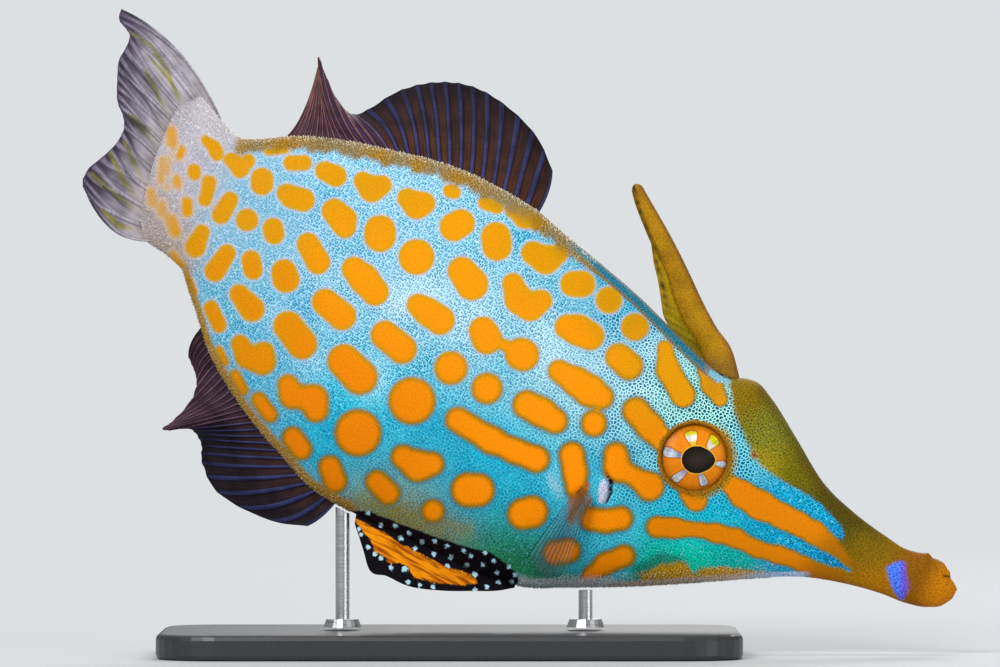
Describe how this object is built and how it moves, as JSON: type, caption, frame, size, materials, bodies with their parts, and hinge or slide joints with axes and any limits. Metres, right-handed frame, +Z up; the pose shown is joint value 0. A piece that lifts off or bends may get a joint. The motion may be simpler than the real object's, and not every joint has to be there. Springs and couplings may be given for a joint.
{
  "type": "filefish display model",
  "caption": "Life-size orange-spotted filefish swimming head down, with erect spine and spread fins, held above a small display stand by short rods.",
  "frame": {"origin": "centre of the overall box's underside, on the floor under the stand", "axes": "+X towards the fish's snout, +Y towards the fish's left side, +Z up"},
  "size_m": [0.0875, 0.032, 0.0647],
  "materials": {
    "spotted_skin": "satin, blue with orange spots in the visual model",
    "snout_skin": "satin orange-brown",
    "tail_skin": "satin",
    "dark_fin": "thin dark membrane",
    "tail_fin": "thin lilac membrane",
    "clear_fin": "thin clear membrane",
    "flap_skin": "satin black",
    "spine_skin": "satin ochre",
    "eye": "wet gloss",
    "plate_steel": "satin black",
    "rod_steel": "brushed"
  },
  "bodies": {
    "root": {"snout": "snout_skin", "head": "spotted_skin", "trunk": "spotted_skin", "tail_stalk": "tail_skin", "eye_right": "eye", "eye_left": "eye", "dorsal_spine": "spine_skin", "spine_web": "spine_skin", "soft_dorsal_fin": "dark_fin", "anal_fin": "dark_fin", "ventral_flap": "flap_skin", "caudal_fin": "tail_fin", "pectoral_fin_right": "clear_fin", "pectoral_fin_left": "clear_fin", "stand_base": "plate_steel", "stand_rod_front": "rod_steel", "stand_rod_hind": "rod_steel"}
  },
  "joints": []
}
